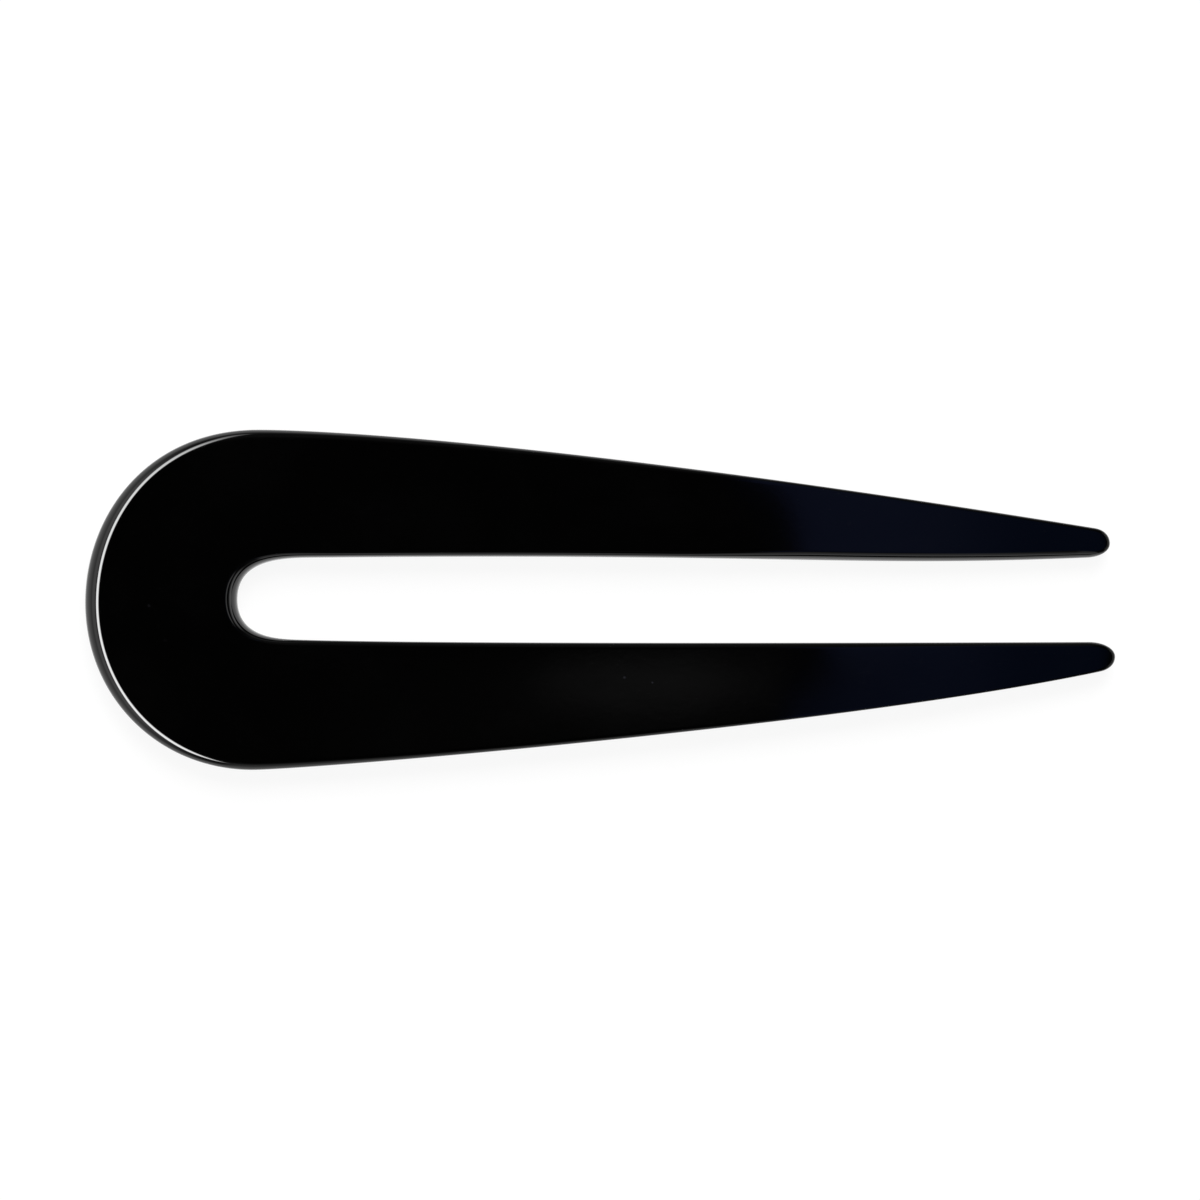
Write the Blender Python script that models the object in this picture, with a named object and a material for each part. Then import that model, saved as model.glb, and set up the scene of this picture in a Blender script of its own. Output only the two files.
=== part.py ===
"""A one-piece U-shaped hairpin, cut from black cellulose acetate sheet and tumbled until its edges are round.

The pin lies flat, with +Z up through its thickness and +X from the bend to the tips of its two legs. The
origin is at the middle of the pin's length and width, on the surface that the pin lies on. Lengths are in
metres. The outline is worked out with x counted from the rim of the bend, and the object's location then
brings the middle of the pin to the origin.
"""

import math

import bmesh
import bpy
import numpy as np

MM = 0.001

# Whole pin
overall_length = 105.0 * MM  # rim of the bend to the end of the longer leg
upper_leg_shortfall = 0.6 * MM  # how far the leg on +Y stops before the leg on -Y
bend_radius = 17.3 * MM  # outer radius of the bend, which is half the pin's width
bridge_depth = 15.3 * MM  # rim of the bend to the closed end of the slot

# Slot between the legs
slot_width = 8.85 * MM
slot_mouth_width = 8.45 * MM  # between the tips, which lean in a little
slot_end_length = 10.0 * MM  # closed end of the slot to where its sides run straight

# Tips
tip_width = 3.1 * MM
tip_round_length = 2.0 * MM  # over which a tip rounds off to its end

# Thickness of the sheet, of the legs where they thin out, and the round that tumbling leaves on every edge
sheet_thickness = 4.0 * MM
tip_thickness = 2.2 * MM
thinning_length = 40.0 * MM  # stretch before the tips over which the legs get thinner
edge_radius = 1.2 * MM
tip_edge_radius = 0.9 * MM

# Shape of the curves, as shares of the stretch that each one covers
QUARTER_SHARE = 0.5523  # handle of a cubic curve that draws a quarter of a circle
crown_handle_share = 0.12  # leg's outer edge, where it leaves the bend
shoulder_handle_share = 0.34  # the same edge, where it reaches the tip
taper_slope = 0.184  # fall of the outer edge towards the slot at the tip, for each unit of length
slot_end_handle_shares = (0.94, 0.6)  # at the closed end, across the slot, and at the straight side, along it
edge_limit_share = 0.9  # largest round that a thin wall or a narrow tip allows

# Steps that the surface is drawn with
CURVE_STEPS = 240
TIP_STEPS = 6
LEG_STEPS = 20
BEND_STEPS = 18
ROUND_STEPS = 5
SHARP_ANGLE = math.radians(35.0)
WELD_DISTANCE = 0.0001 * MM


def cubic(start, start_handle, end_handle, end):
    """Points and directions along a cubic curve, given by its two ends and their handles."""
    t = np.linspace(0.0, 1.0, CURVE_STEPS + 1)[:, None]
    s = 1.0 - t
    p0, p1, p2, p3 = (np.array(point) for point in (start, start_handle, end_handle, end))
    points = s**3 * p0 + 3 * s**2 * t * p1 + 3 * s * t**2 * p2 + t**3 * p3
    directions = s**2 * (p1 - p0) + 2 * s * t * (p2 - p1) + t**2 * (p3 - p2)
    return np.hstack((points, directions / np.linalg.norm(directions, axis=1)[:, None]))


def lengths(curve):
    """Length along a curve, up to each of its rows."""
    runs = np.linalg.norm(np.diff(curve[:, :2], axis=0), axis=1)
    return np.concatenate(([0.0], np.cumsum(runs)))


def pick(curve, measure, wanted):
    """Rows of a curve where a measure that rises along it takes the wanted values."""
    return np.column_stack([np.interp(wanted, measure, column) for column in curve.T])


def evenly(curve, steps, start_length=0.0):
    """Rows of a curve spaced evenly along its length, from a start length to its end."""
    along = lengths(curve)
    return pick(curve, along, np.linspace(start_length, along[-1], steps + 1))


def outer_edge(reach):
    """The outer edge of a leg on +Y, from the end of its tip round to the rim of the bend, as three curves."""
    shoulder_x = reach - tip_round_length
    shoulder_y = slot_mouth_width / 2 + tip_width
    tip_y = shoulder_y - tip_width / 2
    tip_handle = QUARTER_SHARE * tip_round_length
    run = shoulder_x - bend_radius
    shoulder_handle = shoulder_handle_share * run
    tip = cubic(
        (reach, tip_y),
        (reach, tip_y + QUARTER_SHARE * tip_width / 2),
        (shoulder_x + tip_handle, shoulder_y - taper_slope * tip_handle),
        (shoulder_x, shoulder_y),
    )
    leg = cubic(
        (shoulder_x, shoulder_y),
        (shoulder_x - shoulder_handle, shoulder_y + taper_slope * shoulder_handle),
        (bend_radius + crown_handle_share * run, bend_radius),
        (bend_radius, bend_radius),
    )
    bend = cubic(
        (bend_radius, bend_radius),
        (bend_radius - QUARTER_SHARE * bend_radius, bend_radius),
        (0.0, QUARTER_SHARE * bend_radius),
        (0.0, 0.0),
    )
    return tip, leg, bend


def slot_edge(reach):
    """The edge of the same leg along the slot, from the end of its tip to the slot's closed end."""
    mouth_x = reach - tip_round_length
    mouth_y = slot_mouth_width / 2
    tip_y = mouth_y + tip_width / 2
    root_x = bridge_depth + slot_end_length
    root_y = slot_width / 2
    handle = (mouth_x - root_x) / 3
    across_share, along_share = slot_end_handle_shares
    tip = cubic(
        (reach, tip_y),
        (reach, tip_y - QUARTER_SHARE * tip_width / 2),
        (mouth_x + QUARTER_SHARE * tip_round_length, mouth_y),
        (mouth_x, mouth_y),
    )
    side = cubic((mouth_x, mouth_y), (mouth_x - handle, root_y), (root_x + handle, root_y), (root_x, root_y))
    end = cubic(
        (root_x, root_y),
        (root_x - along_share * slot_end_length, root_y),
        (bridge_depth, across_share * root_y),
        (bridge_depth, 0.0),
    )
    return tip, side, end


def half_outline(reach):
    """Matching rows of a leg's outer edge and slot edge, from the tip's end to the pin's axis.

    The rows are paired evenly round the tip, at the same x along the leg, and evenly round the bend.
    """
    outer_tip, outer_leg, outer_bend = outer_edge(reach)
    slot_tip, slot_side, slot_end = slot_edge(reach)
    outer_side = np.vstack((outer_leg, outer_bend[1:]))
    root_x = slot_side[-1, 0]
    leg_x = np.linspace(slot_side[0, 0], root_x, LEG_STEPS + 1)
    root_length = np.interp(-root_x, -outer_side[:, 0], lengths(outer_side))
    outer = np.vstack((
        evenly(outer_tip, TIP_STEPS),
        pick(outer_side, -outer_side[:, 0], -leg_x)[1:],
        evenly(outer_side, BEND_STEPS, root_length)[1:],
    ))
    slot = np.vstack((
        evenly(slot_tip, TIP_STEPS),
        pick(slot_side, -slot_side[:, 0], -leg_x)[1:],
        evenly(slot_end, BEND_STEPS)[1:],
    ))
    return outer, slot


def edge_column(edge, turn, reach):
    """The rounded side of the pin along an edge: one column of points for each row, from bottom to top.

    turn is 1 for the outer edge and -1 for the slot edge, and turns each row's direction outwards.
    """
    x = edge[:, 0]
    thinned = np.clip((x - reach + thinning_length) / thinning_length, 0.0, 1.0)[:, None] ** 2
    half_height = (sheet_thickness + (tip_thickness - sheet_thickness) * thinned) / 2
    roundest_tip = edge_limit_share * min(tip_width / 2, (tip_width / 2) ** 2 / tip_round_length)
    tip_radius = min(tip_edge_radius, roundest_tip)
    radius = np.minimum(edge_radius + (tip_radius - edge_radius) * thinned, edge_limit_share * half_height)
    outward = turn * np.column_stack((edge[:, 3], -edge[:, 2]))
    outward /= np.linalg.norm(outward, axis=1)[:, None]
    angles = np.linspace(0.0, math.pi / 2, ROUND_STEPS + 1)
    angles = np.concatenate((-angles[::-1], angles))[None, :]
    inset = radius * (np.cos(angles) - 1.0)
    above = np.repeat((-1.0, 1.0), ROUND_STEPS + 1)[None, :]
    z = sheet_thickness / 2 + above * (half_height - radius) + radius * np.sin(angles)
    points = edge[:, None, :2] + inset[:, :, None] * outward[:, None, :]
    return np.dstack((points, z))


def half_sections(reach):
    """Closed sections across a leg and its half of the bend, from the tip's end to the pin's axis."""
    outer, slot = half_outline(reach)
    outer_column = edge_column(outer, 1.0, reach)
    slot_column = edge_column(slot, -1.0, reach)
    return np.hstack((outer_column, slot_column[:, ::-1]))


def pin_sections():
    """Sections along the whole pin, from the tip on +Y round the bend to the tip on -Y."""
    upper = half_sections(overall_length - upper_leg_shortfall)
    lower = half_sections(overall_length) * np.array((1.0, -1.0, 1.0))
    return np.vstack((upper, lower[-2::-1]))


def loft(name, sections):
    """A closed mesh through the sections, whose first and last are one column of points drawn twice."""
    count, around = sections.shape[:2]
    index = np.arange(count * around).reshape(count, around)
    here, onward = index[:-1], index[1:]
    corners = (here, np.roll(here, -1, axis=1), np.roll(onward, -1, axis=1), onward)
    faces = np.stack(corners, axis=-1).reshape(-1, 4)
    mesh = bpy.data.meshes.new(name)
    mesh.from_pydata(sections.reshape(-1, 3).tolist(), [], faces.tolist())
    shape = bmesh.new()
    shape.from_mesh(mesh)
    bmesh.ops.remove_doubles(shape, verts=shape.verts, dist=WELD_DISTANCE)
    bmesh.ops.recalc_face_normals(shape, faces=shape.faces)
    shape.to_mesh(mesh)
    shape.free()
    mesh.shade_smooth()
    mesh.set_sharp_from_angle(angle=SHARP_ANGLE)
    return mesh


def black_acetate():
    """Polished black acetate: near-black, with the clear gloss of a tumbled plastic."""
    material = bpy.data.materials.new("black_acetate")
    material.use_nodes = True
    surface = material.node_tree.nodes["Principled BSDF"]
    surface.inputs["Base Color"].default_value = (0.006, 0.006, 0.007, 1.0)
    surface.inputs["Roughness"].default_value = 0.06
    surface.inputs["Metallic"].default_value = 0.0
    surface.inputs["IOR"].default_value = 1.48
    return material


def main():
    """Clear the scene and add the pin to it."""
    for thing in list(bpy.data.objects):
        bpy.data.objects.remove(thing, do_unlink=True)
    mesh = loft("hairpin", pin_sections())
    mesh.materials.append(black_acetate())
    hairpin = bpy.data.objects.new("hairpin", mesh)
    hairpin.location.x = -overall_length / 2
    bpy.context.scene.collection.objects.link(hairpin)


main()
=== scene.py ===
"""A one-piece U-shaped hairpin of tumbled and polished black acetate, lying flat on a white studio floor.

The pin is one smooth surface: a rounded section carried from the tip of one leg, round the bend, to the tip
of the other. It stands for the plainer solid that carries its size and its place. The camera looks down on
it, and the room that its polish reflects is dark overhead, with a bright strip to the left and a navy patch
to the right.
"""

import math

import bmesh
import bpy
import numpy as np
from mathutils import Euler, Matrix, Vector


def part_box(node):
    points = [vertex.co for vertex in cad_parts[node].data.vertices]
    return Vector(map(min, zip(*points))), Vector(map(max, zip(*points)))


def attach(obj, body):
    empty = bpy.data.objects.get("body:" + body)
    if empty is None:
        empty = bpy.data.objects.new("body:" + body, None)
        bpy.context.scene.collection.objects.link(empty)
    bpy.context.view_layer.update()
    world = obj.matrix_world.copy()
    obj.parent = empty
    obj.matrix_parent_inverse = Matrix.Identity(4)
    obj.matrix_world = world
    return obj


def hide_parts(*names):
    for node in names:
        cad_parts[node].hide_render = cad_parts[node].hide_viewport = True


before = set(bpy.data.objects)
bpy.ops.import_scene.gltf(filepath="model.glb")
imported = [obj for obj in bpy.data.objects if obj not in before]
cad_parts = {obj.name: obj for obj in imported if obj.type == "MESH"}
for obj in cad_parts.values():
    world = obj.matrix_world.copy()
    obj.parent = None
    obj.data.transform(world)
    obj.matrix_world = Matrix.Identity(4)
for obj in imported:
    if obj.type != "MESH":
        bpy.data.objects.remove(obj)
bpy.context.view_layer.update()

bl_info = {
    "name": "Acetate Hairpin",
    "version": (1, 0, 0),
    "blender": (4, 5, 0),
    "location": "3D View > Sidebar > Hairpin",
    "description": "Draws a polished acetate hairpin and the studio around it",
    "category": "Add Mesh",
}

MM = 0.001
SOLID = "hairpin"
BODY = "root"

solid_low, solid_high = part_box(SOLID)

# Steps that the surface is drawn with
CURVE_STEPS = 400
TIP_STEPS = 28
LEG_STEPS = 120
BEND_STEPS = 110
ROUND_STEPS = 18
WALL_STEPS = 3
FACE_STEPS = 10
WELD_DISTANCE = 0.0001 * MM

# The legs' places in the values that are given for each of them
UPPER = 0
LOWER = 1

# Except at the tips, the slot's rounds meet the faces more keenly: past this angle their radius is this share
# of what it was
KEEN_ANGLE = math.radians(80.0)
KEEN_SHARE = 0.2

# The highest round, as a share of half the thickness
HIGHEST_SHARE = 0.97

# Stretches over which an edge's round changes to that of the thin leg, and at its end to that of the tip
FAR_BLEND = 16.0 * MM
TIP_BLEND = 3.0 * MM

# A cubic curve whose handles are this share of the radius draws a quarter of a circle
QUARTER_SHARE = 0.5523

# The polish. A scale is the number of bumps to the metre, and a step the two values between which a pattern
# sets in
MOTTLE_SCALE = 90.0
MOTTLE_STEP = (0.45, 0.75)
SMEAR_SCALE = 260.0
SMEAR_STRETCH = (0.35, 1.0, 1.0)  # fewer bumps along the pin, so the smears run that way
SMEAR_SPREAD = 0.6  # of the gloss roughness
SPECK_SCALE = 330.0
SPECK_STEP = (0.07, 0.035)  # of the distance to a speck's middle
SPECK_PATCH_SCALE = 55.0
SPECK_PATCH_STEP = (0.62, 0.72)
SPECK_ROUGHNESS = 0.3
SPECK_HEIGHT = 0.004 * MM
SIDE_STEP = (0.55, 0.95)  # of the steepness
FACE_WAVE_SHARE = 0.15  # of the wave height, all over, on top of what the sides have
WOBBLE_SCALE = 60.0
WOBBLE = 0.6  # radians of a cutter's line
SECTION_LENGTH = 37.0 * MM  # round the widest section
ACETATE_IOR = 1.48

# The soft lamp's place and side, in metres
LAMP_PLACE = (0.1, 0.7, 0.9)
LAMP_SIDE = 0.7

# The camera shows nothing that is so many times nearer or further than the pin
CLIP_SPAN = 100

# The room that the polish reflects. A direction that rises by 1 runs sx towards the tips and sy towards +Y,
# and it is taken to rise by LOWEST_RISE at least. Its lean is the square root of sx^2 + sy^2, and its turns
# are sx / lean and sy / lean. A pair holds the values at which a light sets in and at which it is full, or
# where it is called levels, the light's two levels.
LOWEST_RISE = 0.02
STRIP_RIGHT_SIDE = (-0.27, -0.40)
STRIP_LEFT_SIDE = (-0.74, -0.60)
STRIP_FADE = (1.8, -0.2)
STRIP_FADE_SHARE = 0.86
STRIP_BACK_END = (3.2, 2.0)
STRIP_FRONT_END = (-1.35, -0.9)
DIM_STRIP_LEFT_SIDE = (0.50, 0.65)
DIM_STRIP_RIGHT_SIDE = (1.0, 0.85)
DIM_STRIP_ENDS = (0.5, 0.25)  # of sy^2
LEFT_TURN = (-0.35, -0.85)
LEFT_WALL = (0.8, 1.0)
LEFT_WALL_CHANGE = (1.5, 3.0)
LEFT_WALL_LEVELS = (1.2, 0.6)
RIGHT_TURN = (0.5, 0.85)
RIGHT_WALL = (1.5, 4.5)
RIGHT_WALL_LEVEL = 1.3
FRONT_TURN = (-0.96, -0.99)
FRONT_WALL = (0.4, 1.6)
FRONT_WALL_CHANGE = (2.0, 6.0)
FRONT_WALL_LEVELS = (0.45, 0.75)
DIM_WALLS = (0.1, 0.9)
DIM_WALLS_TURN = (0.3, 0.6)
DIM_WALLS_LEVELS = (0.06, 0.012)
ALL_WALLS = (1.5, 8.0)
ALL_WALLS_LEVEL = 0.25

# Two soft glows nearly overhead: sx and sy of the middle, what each is multiplied by, the fade and the level
LOWER_LEG_GLOW = ((0.0105, -0.0075), (1.0, 3.0), (0.034, 0.006), 0.122)
FAINT_GLOW = ((-0.02, -0.022), (0.55, 1.0), (0.028, 0.012), 0.012)

# The navy patch, round the right of a dark bar overhead. A pair called legs has the value for the upper leg,
# which reflects the side towards +Y, and the value for the lower, between which LOWER_SIDE passes
LOWER_SIDE = (0.006, -0.006)
BAR_END_LEGS = (0.038, 0.035)
BAR_MIDDLE = 0.0098
BAR_NARROWING_LEGS = (0.8, 1.74)
NAVY_START_LEGS = (0.017, 0.027)
NAVY_FULL_LEGS = (0.027, 0.055)
NAVY_DIP = 0.18  # how much dimmer it starts on the lower leg
NAVY_DIP_FADE = (0.09, 0.05)
NAVY_LEAN = 0.13  # how much further right it starts for each 1 of sy, either way
NAVY_LEFT_START_LEGS = (0.024, 0.032)
NAVY_LEFT_FULL_LEGS = (0.038, 0.048)
NAVY_RIGHT_END = (0.25, 0.20)
NAVY_DEEPENS = (0.095, 0.17)
NAVY_DEEPER_LOWER = 0.55
NAVY_NEAR = (0.062, 0.084, 0.212)
NAVY_FAR = (0.018, 0.040, 0.118)


def length_property(name, description, default):
    """A length that a user can change, kept in metres."""
    return bpy.props.FloatProperty(
        name=name, description=description, default=default, min=0.0, precision=5, unit="LENGTH"
    )


def leg_property(name, description, upper, lower, unit="LENGTH"):
    """Two values, for the leg on +Y, the upper one in the picture, and the leg on -Y."""
    return bpy.props.FloatVectorProperty(
        name=name, description=description, default=(upper, lower), size=2, precision=5, unit=unit
    )


def leg_share(name, description, upper, lower):
    """Two plain numbers, for the same two legs."""
    return leg_property(name, description, upper, lower, unit="NONE")


def share_property(name, description, default):
    """A plain number that a user can change."""
    return bpy.props.FloatProperty(name=name, description=description, default=default, min=0.0, precision=4)


def colour_property(name, description, default):
    """A colour that a user can change, in linear red, green and blue."""
    return bpy.props.FloatVectorProperty(
        name=name, description=description, default=default, min=0.0, max=1.0, size=3, subtype="COLOR"
    )


class HAIRPIN_PG_sizes(bpy.types.PropertyGroup):
    """Sizes of the pin. The overall ones come from the solid that it stands for.

    The axis is the line midway between the solid's legs. A pull is the length of a curve's handle, as a share
    of the stretch that the curve covers.
    """

    length: length_property("Length", "Rim of the bend to the longer leg's end", solid_high.x - solid_low.x)
    width: length_property("Width", "Across the bend", solid_high.y - solid_low.y)
    thickness: length_property("Thickness", "Thickness of the sheet", solid_high.z - solid_low.z)
    shortfall: leg_property("Shortfall", "How far each leg stops before the full length", 0.55 * MM, 0.0)
    half_width: leg_share(
        "Half width", "Axis to each outer edge's widest point, as a share of half the width", 0.9976, 1.0055
    )
    widest_at: leg_property("Widest at", "Rim to each outer edge's widest point", 17.7 * MM, 17.1 * MM)
    rim_offset: length_property("Rim offset", "How far the middle of the rim lies towards -Y", 0.34 * MM)
    rim_pull: leg_share("Rim pull", "Pull of the bend along the rim", 0.514, 0.55)
    bend_pull: leg_share("Bend pull", "Pull of the bend back from its widest point", 0.647, 0.565)
    side_pull: leg_share("Side pull", "Pull of the outer edge on from its widest point", 0.05, 0.064)
    shoulder_pull: leg_share("Shoulder pull", "Pull of the outer edge back from the tip", 0.691, 0.293)
    shoulder_slope: leg_share("Shoulder slope", "Fall of the outer edge at the tip", 0.158, 0.214)
    shoulder_out: leg_property(
        "Shoulder out", "Axis to the outer edge where the tip starts", 7.44 * MM, 7.17 * MM
    )
    shoulder_length: leg_property(
        "Shoulder length", "Stretch over which the outer edge rounds off", 1.51 * MM, 1.53 * MM
    )
    tip_end: leg_share("Tip end", "Place of the tip's end, as a share of its width", 0.479, 0.492)
    mouth_length: leg_property(
        "Mouth length", "Stretch over which the slot's edge rounds off", 2.2 * MM, 2.65 * MM
    )
    mouth_out: leg_property(
        "Mouth out", "Axis to the slot's edge where the tip starts", 4.45 * MM, 4.165 * MM
    )
    mouth_slope: leg_share("Mouth slope", "Slope of the slot's edge at the tip", 0.045, -0.005)
    mouth_pull: leg_share("Mouth pull", "Pull of the slot's side back from the tip", 0.309, 0.1)
    root_pull: leg_share("Root pull", "Pull of the slot's side on from where it starts", 0.617, 0.2)
    root_out: leg_property("Root out", "Axis to where the slot's side starts", 4.26 * MM, 4.125 * MM)
    root_slope: leg_share("Root slope", "Slope of the slot's side where it starts", 0.012, 0.03)
    bridge_depth: length_property("Bridge depth", "Rim of the bend to the slot's closed end", 15.48 * MM)
    slot_end_length: leg_property(
        "Slot end length", "Slot's closed end to where its side starts", 7.7 * MM, 6.2 * MM
    )
    slot_end_across: leg_share("Slot end across", "Pull of the slot's end across the slot", 0.977, 0.943)
    slot_end_along: leg_share("Slot end along", "Pull of the slot's end along its side", 0.383, 0.361)
    tip_thickness: length_property("Tip thickness", "Thickness at the end of a leg", 2.2 * MM)
    thinning_length: leg_property(
        "Thinning length", "Stretch over which each leg thins", 40.0 * MM, 35.0 * MM
    )
    rim_round: length_property("Rim round", "Round on the edge of the bend's rim", 1.67 * MM)
    leg_round: leg_property("Leg round", "Round on each leg's outer edge", 0.45 * MM, 0.3 * MM)
    rim_fade: leg_property("Rim fade", "Stretch over which the rim's round fades", 23.0 * MM, 18.0 * MM)
    far_round: leg_property("Far round", "Outer edge's round where a leg is thin", 0.35 * MM, 0.2 * MM)
    slot_end_round: length_property("Slot end round", "Depth of the round at the slot's end", 1.3 * MM)
    slot_end_height: length_property("Slot end height", "Height of the round at the slot's end", 1.95 * MM)
    slot_round: leg_property("Slot round", "Depth of the round on the slot's side", 0.45 * MM, 0.6 * MM)
    slot_height: leg_property("Slot height", "Height of the round on the slot's side", 1.0 * MM, 0.6 * MM)
    far_slot_round: leg_property(
        "Far slot round", "Depth of the round on the slot's side where a leg is thin", 0.95 * MM, 0.55 * MM
    )
    far_slot_height: leg_property(
        "Far slot height", "Height of the round on the slot's side where a leg is thin", 1.8 * MM, 0.55 * MM
    )
    slot_fade: leg_property(
        "Slot fade", "Stretch over which the depth at the slot's end fades", 3.2 * MM, 2.6 * MM
    )
    slot_height_fade: length_property(
        "Slot height fade", "Stretch over which the height at the slot's end fades", 4.0 * MM
    )
    far_length: length_property(
        "Far length", "Tip's end back to where the rounds start to change to a thin leg's", 45.0 * MM
    )
    tip_round: length_property("Tip round", "Round on the edge at the end of a tip", 0.35 * MM)
    crown: length_property("Crown", "How far a face as wide as the pin would be domed", 0.01 * MM)


class HAIRPIN_PG_finish(bpy.types.PropertyGroup):
    """The polish of the acetate."""

    colour: colour_property("Colour", "Black of the acetate", (0.0004, 0.0004, 0.0004))
    mottle: colour_property("Mottle", "Paler black where the pigment is thinner", (0.0007, 0.0007, 0.0007))
    dust: colour_property("Dust", "Specks of polishing dust", (0.03, 0.03, 0.035))
    gloss: share_property("Gloss roughness", "Roughness of the polished faces", 0.05)
    haze: share_property("Haze", "Roughness that the sides have on top", 0.07)
    wave_height: length_property("Wave height", "Height of the polish's slow waves on the sides", 0.02 * MM)
    wave_length: length_property("Wave length", "Distance between those waves", 9.0 * MM)
    peel_height: length_property("Peel height", "Height of the fine unevenness of the polish", 0.0006 * MM)
    peel_length: length_property("Peel length", "Distance between the finest bumps", 0.7 * MM)
    cut_height: length_property("Cut height", "Height of the cutter's lines along the sides", 0.004 * MM)
    cut_pitch: length_property("Cut pitch", "Distance between the cutter's lines", 0.45 * MM)


class HAIRPIN_PG_studio(bpy.types.PropertyGroup):
    """The camera and the light around the pin."""

    lens: share_property("Lens", "Focal length of the camera in millimetres", 150.0)
    frame_width: length_property("Frame width", "Width that the picture takes in", 122.48 * MM)
    tilt: bpy.props.FloatProperty(
        name="Tilt", description="Lean of the camera towards -Y", default=math.radians(0.5), subtype="ANGLE"
    )
    roll: bpy.props.FloatProperty(
        name="Roll", description="Turn of the camera about its view", default=0.0025, subtype="ANGLE"
    )
    floor_colour: colour_property("Floor colour", "Colour of the floor", (0.95, 0.95, 0.95))
    floor_size: length_property("Floor size", "Side of the floor", 6.0)
    white_share: share_property("White share", "Share of the floor's white that no shadow takes", 0.9)
    room_light: share_property("Room light", "Level of the light from all round", 0.5)
    key_power: share_property("Key power", "Power of the soft lamp in watts", 16.0)
    strip_light: share_property("Strip light", "Brightness of the strip in reflections", 22.0)


class Socket:
    """An output of a node. Arithmetic on it adds Math nodes, and mirrored forms let a number come first."""

    def __init__(self, graph, socket):
        self.graph = graph
        self.socket = socket

    def __add__(self, other):
        return self.graph.math("ADD", self, other)

    def __radd__(self, other):
        return self.graph.math("ADD", other, self)

    def __sub__(self, other):
        return self.graph.math("SUBTRACT", self, other)

    def __rsub__(self, other):
        return self.graph.math("SUBTRACT", other, self)

    def __mul__(self, other):
        return self.graph.math("MULTIPLY", self, other)

    def __rmul__(self, other):
        return self.graph.math("MULTIPLY", other, self)

    def __truediv__(self, other):
        return self.graph.math("DIVIDE", self, other)

    def __rtruediv__(self, other):
        return self.graph.math("DIVIDE", other, self)


class Graph:
    """A node tree that is filled by writing expressions."""

    def __init__(self, tree):
        self.tree = tree
        self.tree.nodes.clear()

    def node(self, kind, settings=None, inputs=None, output=0):
        """Adds a node with its settings and its sockets' values or links, and gives one of its outputs."""
        made = self.tree.nodes.new("ShaderNode" + kind)
        for name, value in (settings or {}).items():
            setattr(made, name, value)
        for key, value in (inputs or {}).items():
            if isinstance(value, Socket):
                self.tree.links.new(value.socket, made.inputs[key])
            else:
                made.inputs[key].default_value = value
        return Socket(self, made.outputs[output]) if made.outputs else None

    def math(self, operation, *values):
        """A Math node on sockets and numbers."""
        return self.node("Math", {"operation": operation}, dict(enumerate(values)))

    def vector(self, operation, *values):
        """A Vector Math node on vectors, and on colours as vectors."""
        return self.node("VectorMath", {"operation": operation}, dict(enumerate(values)))

    def scaled(self, vector, factor):
        """A vector or colour times a number."""
        return self.node("VectorMath", {"operation": "SCALE"}, {0: vector, "Scale": factor})

    def distance(self, x, y):
        """Square root of x^2 + y^2."""
        return self.math("SQRT", x * x + y * y)

    def smooth(self, value, low, high):
        """0 below low, 1 above high and an even S between them. With low above high it falls from 1 to 0."""
        sockets = {"Value": value, "From Min": low, "From Max": high}
        return self.node("MapRange", {"interpolation_type": "SMOOTHSTEP"}, sockets)

    def between(self, share, pair):
        """The first number of a pair, passing into the second by a share: first + (second - first) share."""
        first, second = pair
        return first + (second - first) * share

    def colours(self, share, first, second):
        """The first colour, blended into the second by a share."""
        return self.node("Mix", {"data_type": "RGBA"}, {0: share, 6: first, 7: second}, 2)

    def noise(self, place, scale, detail=2.0, distortion=0.0):
        """Noise between 0 and 1, with so many bumps to the unit."""
        sockets = {"Vector": place, "Scale": scale, "Detail": detail, "Distortion": distortion}
        return self.node("TexNoise", {}, sockets, "Fac")


def opaque(colour):
    """A colour's red, green and blue with full alpha."""
    return (*colour, 1.0)


def cubic(start, start_handle, end_handle, end):
    """Rows of x, y and unit direction along a cubic curve.

    With t from 0 to 1 and s = 1 - t, the point is s^3 start + 3 s^2 t start_handle + 3 s t^2 end_handle +
    t^3 end, and its direction is s^2 (start_handle - start) + 2 s t (end_handle - start_handle) +
    t^2 (end - end_handle).
    """
    t = np.linspace(0.0, 1.0, CURVE_STEPS + 1)[:, None]
    s = 1.0 - t
    p0, p1, p2, p3 = (np.array(point) for point in (start, start_handle, end_handle, end))
    points = s**3 * p0 + 3 * s**2 * t * p1 + 3 * s * t**2 * p2 + t**3 * p3
    directions = s**2 * (p1 - p0) + 2 * s * t * (p2 - p1) + t**2 * (p3 - p2)
    return np.hstack((points, directions / np.linalg.norm(directions, axis=1)[:, None]))


def lengths(points):
    """Length along a line of points, up to each of them."""
    runs = np.linalg.norm(np.diff(points, axis=0), axis=1)
    return np.concatenate(([0.0], np.cumsum(runs)))


def pick(curve, measure, wanted):
    """Rows of a curve where a measure that rises along it takes the wanted values."""
    return np.column_stack([np.interp(wanted, measure, column) for column in curve.T])


def evenly(curve, steps, start_length=0.0, end_length=math.inf):
    """Rows of a curve spaced evenly along its length, from a start length to an end length or its end."""
    along = lengths(curve[:, :2])
    return pick(curve, along, np.linspace(start_length, min(end_length, along[-1]), steps + 1))


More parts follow.
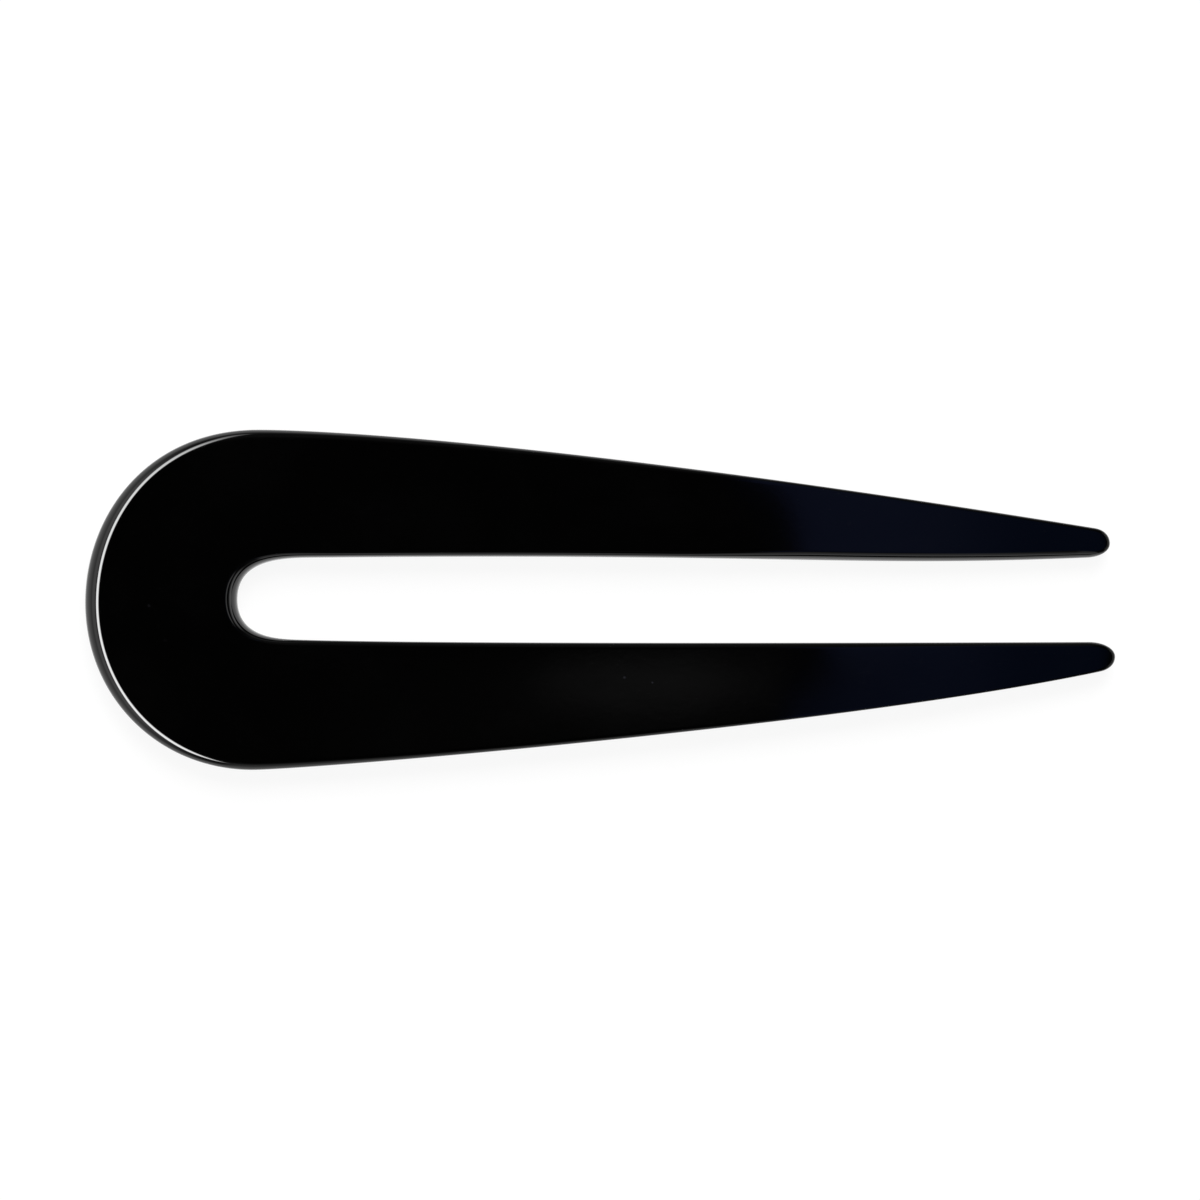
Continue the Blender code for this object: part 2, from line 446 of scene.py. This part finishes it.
def outer_edge(sizes, leg):
    """Outer edge of a leg as one curve: round its tip, along its side, and over its half of the bend.

    The leg lies on +Y here. The handles of the three cubic curves are shares of the stretches they cover.
    """
    reach = sizes.length - sizes.shortfall[leg]
    shoulder_x = reach - sizes.shoulder_length[leg]
    shoulder_y = sizes.shoulder_out[leg]
    slope = sizes.shoulder_slope[leg]
    tip_y = sizes.mouth_out[leg] + sizes.tip_end[leg] * (shoulder_y - sizes.mouth_out[leg])
    tip_handle = QUARTER_SHARE * sizes.shoulder_length[leg]
    widest_x = sizes.widest_at[leg]
    widest_y = sizes.half_width[leg] * sizes.width / 2
    run = shoulder_x - widest_x
    shoulder_handle = sizes.shoulder_pull[leg] * run
    rim_y = (-sizes.rim_offset, sizes.rim_offset)[leg]
    tip = cubic(
        (reach, tip_y),
        (reach, tip_y + QUARTER_SHARE * (shoulder_y - tip_y)),
        (shoulder_x + tip_handle, shoulder_y - slope * tip_handle),
        (shoulder_x, shoulder_y),
    )
    side = cubic(
        (shoulder_x, shoulder_y),
        (shoulder_x - shoulder_handle, shoulder_y + slope * shoulder_handle),
        (widest_x + sizes.side_pull[leg] * run, widest_y),
        (widest_x, widest_y),
    )
    bend = cubic(
        (widest_x, widest_y),
        (widest_x * (1.0 - sizes.bend_pull[leg]), widest_y),
        (0.0, rim_y + sizes.rim_pull[leg] * widest_y),
        (0.0, rim_y),
    )
    return np.vstack((tip, side[1:], bend[1:]))


def slot_edge(sizes, leg):
    """Edge of the same leg along the slot as three cubic curves: tip, side, and half of the closed end."""
    reach = sizes.length - sizes.shortfall[leg]
    mouth_x = reach - sizes.mouth_length[leg]
    mouth_y = sizes.mouth_out[leg]
    slope = sizes.mouth_slope[leg]
    tip_y = mouth_y + sizes.tip_end[leg] * (sizes.shoulder_out[leg] - mouth_y)
    tip_handle = QUARTER_SHARE * sizes.mouth_length[leg]
    root_x = sizes.bridge_depth + sizes.slot_end_length[leg]
    root_y = sizes.root_out[leg]
    run = mouth_x - root_x
    mouth_handle = sizes.mouth_pull[leg] * run
    root_slope = sizes.root_slope[leg]
    root_handle = sizes.root_pull[leg] * run
    end_handle = sizes.slot_end_along[leg] * sizes.slot_end_length[leg]
    tip = cubic(
        (reach, tip_y),
        (reach, tip_y - QUARTER_SHARE * (tip_y - mouth_y)),
        (mouth_x + tip_handle, mouth_y + slope * tip_handle),
        (mouth_x, mouth_y),
    )
    side = cubic(
        (mouth_x, mouth_y),
        (mouth_x - mouth_handle, mouth_y - slope * mouth_handle),
        (root_x + root_handle, root_y + root_slope * root_handle),
        (root_x, root_y),
    )
    end = cubic(
        (root_x, root_y),
        (root_x - end_handle, root_y - root_slope * end_handle),
        (sizes.bridge_depth, sizes.slot_end_across[leg] * root_y),
        (sizes.bridge_depth, 0.0),
    )
    return tip, side, end


def half_outline(sizes, leg):
    """Matching rows of a leg's two edges, from the tip's end to the middle of the bend.

    The rows are paired evenly round the tip, at the same x along the leg, and evenly round the bend.
    """
    edge = outer_edge(sizes, leg)
    slot_tip, slot_side, slot_end = slot_edge(sizes, leg)
    mouth_x, root_x = slot_side[0, 0], slot_side[-1, 0]
    leg_x = np.linspace(mouth_x, root_x, LEG_STEPS + 1)
    mouth_length, root_length = np.interp((-mouth_x, -root_x), -edge[:, 0], lengths(edge[:, :2]))
    outer = np.vstack((
        evenly(edge, TIP_STEPS, 0.0, mouth_length),
        pick(edge, -edge[:, 0], -leg_x)[1:],
        evenly(edge, BEND_STEPS, root_length)[1:],
    ))
    slot = np.vstack((
        evenly(slot_tip, TIP_STEPS),
        pick(slot_side, -slot_side[:, 0], -leg_x)[1:],
        evenly(slot_end, BEND_STEPS)[1:],
    ))
    return outer, slot


def covered(x, start, stretch):
    """How far each x has come over a stretch, from 0 to 1: 3 s^2 - 2 s^3 with s = (x - start) / stretch."""
    s = np.clip((x - start) / stretch, 0.0, 1.0)
    return s**2 * (3.0 - 2.0 * s)


def near_tip(sizes, leg, x):
    """How far each x has come over the short stretch before the end of a leg's tip."""
    return covered(x, sizes.length - sizes.shortfall[leg] - TIP_BLEND, TIP_BLEND)


def round_size(sizes, leg, x, end_share, at_end, on_leg, where_thin):
    """A size of an edge's round at each x.

    It is on_leg + (at_end - on_leg) times a share of the end. Where the leg is thin, it passes into another
    value over a stretch, and before the tip's end in the same way into the tip's own.
    """
    reach = sizes.length - sizes.shortfall[leg]
    size = on_leg + (at_end - on_leg) * end_share
    size = size + (where_thin - size) * covered(x, reach - sizes.far_length, FAR_BLEND)
    return size + (sizes.tip_round - size) * near_tip(sizes, leg, x)


def edge_rounds(sizes, leg, x, turn):
    """Depth in plan and height of the round on an edge at each x. On the outer edge they are the same.

    With d the distance from the rim, or from the slot's closed end, the end's share of the depth is
    e^(-d / fade), and its share of the slot's height is e^(-(d / fade)^2).
    """
    if turn > 0.0:
        sides = sizes.rim_round, sizes.leg_round[leg], sizes.far_round[leg]
        depth = round_size(sizes, leg, x, np.exp(-x / sizes.rim_fade[leg]), *sides)
        return depth, depth
    distance = np.maximum(x - sizes.bridge_depth, 0.0)
    depths = sizes.slot_end_round, sizes.slot_round[leg], sizes.far_slot_round[leg]
    heights = sizes.slot_end_height, sizes.slot_height[leg], sizes.far_slot_height[leg]
    depth = round_size(sizes, leg, x, np.exp(-distance / sizes.slot_fade[leg]), *depths)
    height = round_size(sizes, leg, x, np.exp(-((distance / sizes.slot_height_fade) ** 2)), *heights)
    return depth, height


def round_profile(angles, keen):
    """Inset and climb along a round, as shares of its depth and height.

    The angle a goes from 0 at the wall to 90 degrees at a face. Up to the keen angle k the two are 1 - cos a
    and sin a. Past it they grow more slowly by each row's factor keen, as 1 - cos k + keen (cos k - cos a)
    and sin k + keen (sin a - sin k).
    """
    turned = np.abs(angles)
    held = np.minimum(turned, KEEN_ANGLE)
    inset = 1.0 - np.cos(held) + keen * (np.cos(held) - np.cos(turned))
    climb = np.sin(held) + keen * (np.sin(turned) - np.sin(held))
    return inset, np.sign(angles) * climb


def edge_columns(sizes, leg, edge, turn):
    """The rounded side of the pin along an edge: a column of points for each row of it, from bottom to top.

    The angle goes from -90 to 90 degrees, and stands still at 0 while the column climbs the straight wall.
    A point lies inset from the edge, and above the end of the wall, by the round's profile times its depth
    and its height. The slot's keen profile eases into the plain one before the tip, so that the columns of
    the two edges are the same at its end. The sheet thins to the tip's thickness by the square of the share
    that is covered of the thinning length. turn is 1 for the outer edge and -1 for the slot edge, and turns a
    row's direction outwards.
    """
    x = edge[:, 0]
    reach = sizes.length - sizes.shortfall[leg]
    thinned = np.clip((x - reach) / sizes.thinning_length[leg] + 1.0, 0.0, 1.0)[:, None] ** 2
    half_height = (sizes.thickness + (sizes.tip_thickness - sizes.thickness) * thinned) / 2
    depth, height = (size[:, None] for size in edge_rounds(sizes, leg, x, turn))
    height = np.minimum(height, HIGHEST_SHARE * half_height)
    outward = turn * np.column_stack((edge[:, 3], -edge[:, 2]))
    outward /= np.linalg.norm(outward, axis=1)[:, None]
    quarter = np.linspace(0.0, math.pi / 2, ROUND_STEPS + 1)
    angles = np.concatenate((-quarter[::-1], np.zeros(WALL_STEPS - 1), quarter))[None, :]
    middle = np.linspace(-1.0, 1.0, WALL_STEPS + 1)
    wall = np.concatenate((np.full(ROUND_STEPS, -1.0), middle, np.full(ROUND_STEPS, 1.0)))[None, :]
    keen = np.ones_like(depth)
    if turn < 0.0:
        keen -= (1.0 - KEEN_SHARE) * (1.0 - near_tip(sizes, leg, x)[:, None])
    inset, climb = round_profile(angles, keen)
    z = sizes.thickness / 2 + wall * (half_height - height * climb[:, -1:]) + height * climb
    points = edge[:, None, :2] - (depth * inset)[:, :, None] * outward[:, None, :]
    steepness = np.broadcast_to(np.cos(angles), z.shape)
    return np.dstack((points, z, steepness))


def face_columns(sizes, first, last, rise):
    """Points across a face, between two edges' columns.

    At a share s across, which is (1 - cos a) / 2 for even angles a, a point is raised by 4 s (1 - s) times
    crown times the face's width as a share of the pin's. rise is 1 for the top face and -1 for the bottom.
    """
    s = (1.0 - np.cos(np.linspace(0.0, math.pi, FACE_STEPS + 1)[1:-1])) / 2
    points = first[:, None, :] + (last - first)[:, None, :] * s[None, :, None]
    across = np.linalg.norm((last - first)[:, :2], axis=1)[:, None] / sizes.width
    points[:, :, 2] += rise * sizes.crown * across * 4 * s * (1.0 - s)
    return points


def half_sections(sizes, leg):
    """Closed sections across a leg and its half of the bend, from the tip's end to the pin's axis."""
    outer, slot = half_outline(sizes, leg)
    outer_columns = edge_columns(sizes, leg, outer, 1.0)
    slot_columns = edge_columns(sizes, leg, slot, -1.0)[:, ::-1]
    top = face_columns(sizes, outer_columns[:, -1], slot_columns[:, 0], 1.0)
    bottom = face_columns(sizes, slot_columns[:, -1], outer_columns[:, 0], -1.0)
    return np.hstack((outer_columns, top, slot_columns, bottom))


def pin_sections(sizes):
    """Sections along the whole pin, from the tip on +Y round the bend to the tip on -Y."""
    upper = half_sections(sizes, UPPER)
    lower = half_sections(sizes, LOWER) * np.array((1.0, -1.0, 1.0, 1.0))
    sections = np.vstack((upper, lower[-2::-1]))
    sections[:, :, 0] += solid_low.x
    return sections


def loft(name, sections):
    """A closed mesh through sections of x, y, z and steepness.

    Its UV map runs along the pin in u and round the section in v, both by length as shares of the whole. The
    steepness, 0 on the faces and 1 on the walls, is kept as an attribute. The first and last sections are one
    column of points drawn twice, and are welded.
    """
    count, around = sections.shape[:2]
    ring = np.arange(around)
    row, column = np.meshgrid(np.arange(count - 1), ring, indexing="ij")
    rows = np.stack((row, row, row + 1, row + 1), axis=-1)
    columns = np.stack((column, column + 1, column + 1, column), axis=-1)
    faces = (rows * around + columns % around).reshape(-1, 4)
    u = lengths(sections[:, :, :3].mean(axis=1))
    widest = np.vstack((sections[count // 2, :, :3], sections[count // 2, :1, :3]))
    v = lengths(widest)
    uv = np.stack((u[rows] / u[-1], v[columns] / v[-1]), axis=-1)
    mesh = bpy.data.meshes.new(name)
    mesh.from_pydata(sections[:, :, :3].reshape(-1, 3).tolist(), [], faces.tolist())
    mesh.uv_layers.new(name="along_and_round").data.foreach_set("uv", uv.astype(np.float32).ravel())
    steepness = mesh.attributes.new("steepness", "FLOAT", "POINT")
    steepness.data.foreach_set("value", sections[:, :, 3].astype(np.float32).ravel())
    shape = bmesh.new()
    shape.from_mesh(mesh)
    bmesh.ops.remove_doubles(shape, verts=shape.verts, dist=WELD_DISTANCE)
    bmesh.ops.recalc_face_normals(shape, faces=shape.faces)
    shape.to_mesh(mesh)
    shape.free()
    mesh.shade_smooth()
    return mesh


def black_acetate(finish):
    """Polished black acetate.

    The faces are a near mirror with slow waves and a fine unevenness. The sides are hazier, with the cutter's
    lines running along them: a sine of the length round the section, over the distance between the lines. A
    little dust sits in the polish.
    """
    material = bpy.data.materials.new("black_acetate")
    material.use_nodes = True
    graph = Graph(material.node_tree)
    place = graph.node("TexCoord", output="Object")
    steep = graph.node("Attribute", {"attribute_name": "steepness"}, output="Fac")
    side = graph.smooth(steep, *SIDE_STEP)

    mottle = graph.smooth(graph.noise(place, MOTTLE_SCALE, detail=4.0, distortion=0.6), *MOTTLE_STEP)
    speck_sockets = {"Vector": place, "Scale": SPECK_SCALE, "Randomness": 1.0}
    speck_distance = graph.node("TexVoronoi", {}, speck_sockets, "Distance")
    speck_patches = graph.smooth(graph.noise(place, SPECK_PATCH_SCALE, detail=1.0), *SPECK_PATCH_STEP)
    specks = graph.smooth(speck_distance, *SPECK_STEP) * speck_patches
    colour = graph.colours(mottle, opaque(finish.colour), opaque(finish.mottle))
    colour = graph.colours(specks, colour, opaque(finish.dust))

    stretched = graph.node("Mapping", {}, {"Vector": place, "Scale": SMEAR_STRETCH})
    smears = graph.noise(stretched, SMEAR_SCALE, detail=5.0, distortion=0.4) - 0.5
    roughness = finish.gloss * (1.0 + SMEAR_SPREAD * smears) + finish.haze * side + SPECK_ROUGHNESS * specks

    around = graph.node("SeparateXYZ", {}, {0: graph.node("UVMap", {"uv_map": "along_and_round"})}, "Y")
    waves = (graph.noise(place, 1.0 / finish.wave_length, detail=1.0) - 0.5) * finish.wave_height
    peel = (graph.noise(place, 1.0 / finish.peel_length, detail=3.0) - 0.5) * finish.peel_height
    wobble = graph.noise(place, WOBBLE_SCALE) * WOBBLE
    lines = graph.math("SINE", around * (2 * math.pi * SECTION_LENGTH / finish.cut_pitch) + wobble)
    cuts = lines * side * (finish.cut_height / 2)
    height = waves * (FACE_WAVE_SHARE + side) + peel + cuts + specks * SPECK_HEIGHT
    normal = graph.node("Bump", {}, {"Strength": 1.0, "Distance": 1.0, "Height": height})

    surface = graph.node("BsdfPrincipled", {}, {
        "Base Color": colour,
        "Roughness": roughness,
        "Metallic": 0.0,
        "IOR": ACETATE_IOR,
        "Normal": normal,
    })
    graph.node("OutputMaterial", {}, {"Surface": surface})
    return material


def white_floor(studio):
    """A pale floor with the pin's shadow. Part of its white is only for the camera and reflections."""
    material = bpy.data.materials.new("white_floor")
    material.use_nodes = True
    graph = Graph(material.node_tree)
    camera = graph.node("LightPath", output="Is Camera Ray")
    glossy = graph.node("LightPath", output="Is Glossy Ray")
    transmission = graph.node("LightPath", output="Is Transmission Ray")
    seen = (camera + transmission + glossy) * studio.white_share
    diffuse = graph.node("BsdfDiffuse", {}, {"Color": opaque(studio.floor_colour)})
    white = graph.node("Emission", {}, {"Color": (1.0, 1.0, 1.0, 1.0), "Strength": 1.0})
    surface = graph.node("MixShader", {}, {0: seen, 1: diffuse, 2: white})
    graph.node("OutputMaterial", {}, {"Surface": surface})
    return material


def strips_and_walls(graph, studio, sx, sy):
    """The grey light of a direction: a bright strip to the left, a dim one to the right, and the walls.

    A strip is the product of its two sides, which go by sx, and of its ends, which go by sy. A wall is the
    product of a step of the lean, a step of the turn and its level. The dim walls have no step of the turn,
    but a lower level to the right, and low down a little more light is added all round.
    """
    fade = graph.smooth(sy, *STRIP_FADE) * STRIP_FADE_SHARE
    back_end = graph.smooth(sy, *STRIP_BACK_END) * (1.0 - STRIP_FADE_SHARE)
    strip_ends = (fade + back_end) * graph.smooth(sy, *STRIP_FRONT_END)
    strip_sides = graph.smooth(sx, *STRIP_RIGHT_SIDE) * graph.smooth(sx, *STRIP_LEFT_SIDE)
    strip = strip_sides * strip_ends * studio.strip_light
    dim_sides = graph.smooth(sx, *DIM_STRIP_LEFT_SIDE) * graph.smooth(sx, *DIM_STRIP_RIGHT_SIDE)
    dim_strip = dim_sides * graph.smooth(sy * sy, *DIM_STRIP_ENDS)

    lean = graph.distance(sx, sy)
    turn_x = sx / lean
    turn_y = sy / lean
    left_level = graph.between(graph.smooth(lean, *LEFT_WALL_CHANGE), LEFT_WALL_LEVELS)
    left_wall = graph.smooth(lean, *LEFT_WALL) * graph.smooth(turn_x, *LEFT_TURN) * left_level
    right_wall = graph.smooth(lean, *RIGHT_WALL) * graph.smooth(turn_x, *RIGHT_TURN) * RIGHT_WALL_LEVEL
    front_level = graph.between(graph.smooth(lean, *FRONT_WALL_CHANGE), FRONT_WALL_LEVELS)
    front_wall = graph.smooth(lean, *FRONT_WALL) * graph.smooth(turn_y, *FRONT_TURN) * front_level
    dim_level = graph.between(graph.smooth(turn_x, *DIM_WALLS_TURN), DIM_WALLS_LEVELS)
    dim_walls = graph.smooth(lean, *DIM_WALLS) * dim_level
    all_walls = graph.smooth(lean, *ALL_WALLS) * ALL_WALLS_LEVEL
    return strip + dim_strip + left_wall + right_wall + front_wall + dim_walls + all_walls


def glow(graph, sx, sy, middle, factors, fade, level):
    """A soft oval light: the level, fading with the distance from the middle, in sx and sy times factors."""
    away = graph.distance((sx - middle[0]) * factors[0], (sy - middle[1]) * factors[1])
    return graph.smooth(away, *fade) * level


def navy_patch(graph, sx, sy):
    """The navy light round the right of a dark bar overhead, which both legs reflect towards their tips.

    It is the product of a step of the distance from the bar, a step of how far right of a bent line a
    direction lies, and an end on the right. Its colour deepens to the right, and on the lower leg.
    """
    lower = graph.smooth(sy, *LOWER_SIDE)
    beyond_end = graph.math("MAXIMUM", sx - graph.between(lower, BAR_END_LEGS), 0.0)
    beside = (sy - BAR_MIDDLE) * graph.between(lower, BAR_NARROWING_LEGS)
    away = graph.distance(beyond_end, beside)
    navy = graph.smooth(away, graph.between(lower, NAVY_START_LEGS), graph.between(lower, NAVY_FULL_LEGS))
    navy = navy * (1.0 - NAVY_DIP * lower * graph.smooth(away, *NAVY_DIP_FADE))
    right_of_line = sx - NAVY_LEAN * graph.math("ABSOLUTE", sy)
    line_start = graph.between(lower, NAVY_LEFT_START_LEGS)
    line_full = graph.between(lower, NAVY_LEFT_FULL_LEGS)
    navy = navy * graph.smooth(right_of_line, line_start, line_full) * graph.smooth(sx, *NAVY_RIGHT_END)
    deeper = graph.math("MAXIMUM", graph.smooth(sx, *NAVY_DEEPENS), lower * NAVY_DEEPER_LOWER)
    return graph.scaled(graph.colours(deeper, opaque(NAVY_NEAR), opaque(NAVY_FAR)), navy)


def surroundings(studio):
    """The room. To the camera it is white, and matt surfaces take an even light from it.

    Reflections show it by direction: black overhead but for two soft glows, a bright strip to the left, a dim
    one to the right, light walls low down to the left, to the right and in front, and a navy patch a little
    right of the middle. sx is x / rise and sy is y / rise, with z as the rise, or LOWEST_RISE below that.
    """
    world = bpy.data.worlds.new("studio_room")
    world.use_nodes = True
    world.cycles.sampling_method = "NONE"
    graph = Graph(world.node_tree)
    direction = graph.node("TexCoord", output="Generated")
    x, y, z = (graph.node("SeparateXYZ", {}, {0: direction}, axis) for axis in "XYZ")
    rise = graph.math("MAXIMUM", z, LOWEST_RISE)
    sx = x / rise
    sy = y / rise
    grey = strips_and_walls(graph, studio, sx, sy)
    grey = grey + glow(graph, sx, sy, *LOWER_LEG_GLOW) + glow(graph, sx, sy, *FAINT_GLOW)
    reflected = graph.vector("ADD", navy_patch(graph, sx, sy), grey)

    glossy = graph.node("LightPath", output="Is Glossy Ray")
    camera = graph.node("LightPath", output="Is Camera Ray")
    transmission = graph.node("LightPath", output="Is Transmission Ray")
    plain = (studio.room_light, studio.room_light, studio.room_light, 1.0)
    light = graph.colours(glossy, plain, reflected)
    light = graph.colours(camera + transmission, light, (1.0, 1.0, 1.0, 1.0))
    background = graph.node("Background", {}, {"Color": light, "Strength": 1.0})
    graph.node("OutputWorld", {}, {"Surface": background})
    return world


def add_object(name, data):
    """Links new data to the scene as an object."""
    made = bpy.data.objects.new(name, data)
    bpy.context.scene.collection.objects.link(made)
    return made


def add_floor(studio):
    """A square floor that the pin lies on."""
    half = studio.floor_size / 2
    corners = np.array(((-half, -half, 0.0), (half, -half, 0.0), (half, half, 0.0), (-half, half, 0.0)))
    mesh = bpy.data.meshes.new("floor")
    mesh.from_pydata(corners.tolist(), [], [(0, 1, 2, 3)])
    mesh.materials.append(white_floor(studio))
    floor = add_object("floor", mesh)


def add_key_lamp(studio):
    """A soft lamp over the pin's +Y side, with a short shadow towards -Y. Reflections don't show it."""
    lamp = bpy.data.lights.new("key_lamp", "AREA")
    lamp.energy = studio.key_power
    lamp.size = LAMP_SIDE
    key = add_object("key_lamp", lamp)
    key.location = LAMP_PLACE
    key.rotation_mode = "QUATERNION"
    key.rotation_quaternion = key.location.to_track_quat("Z", "Y")
    key.visible_glossy = False
    key.visible_camera = False


def add_camera(studio, sizes):
    """A camera over the middle of the pin, leaning a little towards -Y."""
    data = bpy.data.cameras.new("camera")
    data.lens = studio.lens
    camera = add_object("camera", data)
    distance = studio.frame_width * studio.lens / data.sensor_width
    turn = Euler((studio.tilt, 0.0, studio.roll))
    camera.rotation_euler = turn
    back = Vector((0.0, 0.0, distance))
    back.rotate(turn)
    camera.location = Vector((0.0, 0.0, sizes.thickness / 2)) + back
    data.clip_start = distance / CLIP_SPAN
    data.clip_end = distance * CLIP_SPAN
    bpy.context.scene.camera = camera


class HAIRPIN_OT_draw_pin(bpy.types.Operator):
    """Draw the pin's polished surface in place of the plain solid"""

    bl_idname = "hairpin.draw_pin"
    bl_label = "Draw Pin"

    def execute(self, context):
        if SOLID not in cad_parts:
            raise RuntimeError("The frame holds no hairpin to stand for")
        mesh = loft("polished_hairpin", pin_sections(context.scene.hairpin_sizes))
        mesh.materials.append(black_acetate(context.scene.hairpin_finish))
        pin = add_object("polished_hairpin", mesh)
        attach(pin, BODY)
        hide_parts(SOLID)
        return {"FINISHED"}


class HAIRPIN_OT_set_up_studio(bpy.types.Operator):
    """Add the floor, the light and the camera"""

    bl_idname = "hairpin.set_up_studio"
    bl_label = "Set Up Studio"

    def execute(self, context):
        scene = context.scene
        scene.world = surroundings(scene.hairpin_studio)
        add_floor(scene.hairpin_studio)
        add_key_lamp(scene.hairpin_studio)
        add_camera(scene.hairpin_studio, scene.hairpin_sizes)
        scene.view_settings.view_transform = "Standard"
        return {"FINISHED"}


class HAIRPIN_PT_sidebar(bpy.types.Panel):
    """Lists the pin's values and its two steps"""

    bl_idname = "HAIRPIN_PT_sidebar"
    bl_label = "Hairpin"
    bl_space_type = "VIEW_3D"
    bl_region_type = "UI"
    bl_category = "Hairpin"

    def draw(self, context):
        scene = context.scene
        for group in (scene.hairpin_sizes, scene.hairpin_finish, scene.hairpin_studio):
            box = self.layout.box()
            for name in group.__annotations__:
                box.prop(group, name)
        self.layout.operator(HAIRPIN_OT_draw_pin.bl_idname)
        self.layout.operator(HAIRPIN_OT_set_up_studio.bl_idname)


CLASSES = (
    HAIRPIN_PG_sizes,
    HAIRPIN_PG_finish,
    HAIRPIN_PG_studio,
    HAIRPIN_OT_draw_pin,
    HAIRPIN_OT_set_up_studio,
    HAIRPIN_PT_sidebar,
)


def register():
    """Adds the classes, and their values to the scene."""
    for thing in CLASSES:
        bpy.utils.register_class(thing)
    bpy.types.Scene.hairpin_sizes = bpy.props.PointerProperty(type=HAIRPIN_PG_sizes)
    bpy.types.Scene.hairpin_finish = bpy.props.PointerProperty(type=HAIRPIN_PG_finish)
    bpy.types.Scene.hairpin_studio = bpy.props.PointerProperty(type=HAIRPIN_PG_studio)


def unregister():
    """Takes the values and the classes away again."""
    del bpy.types.Scene.hairpin_studio
    del bpy.types.Scene.hairpin_finish
    del bpy.types.Scene.hairpin_sizes
    for thing in reversed(CLASSES):
        bpy.utils.unregister_class(thing)


def main():
    """Draws the pin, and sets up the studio."""
    register()
    bpy.ops.hairpin.draw_pin()
    bpy.ops.hairpin.set_up_studio()


if __name__ == "__main__":
    main()
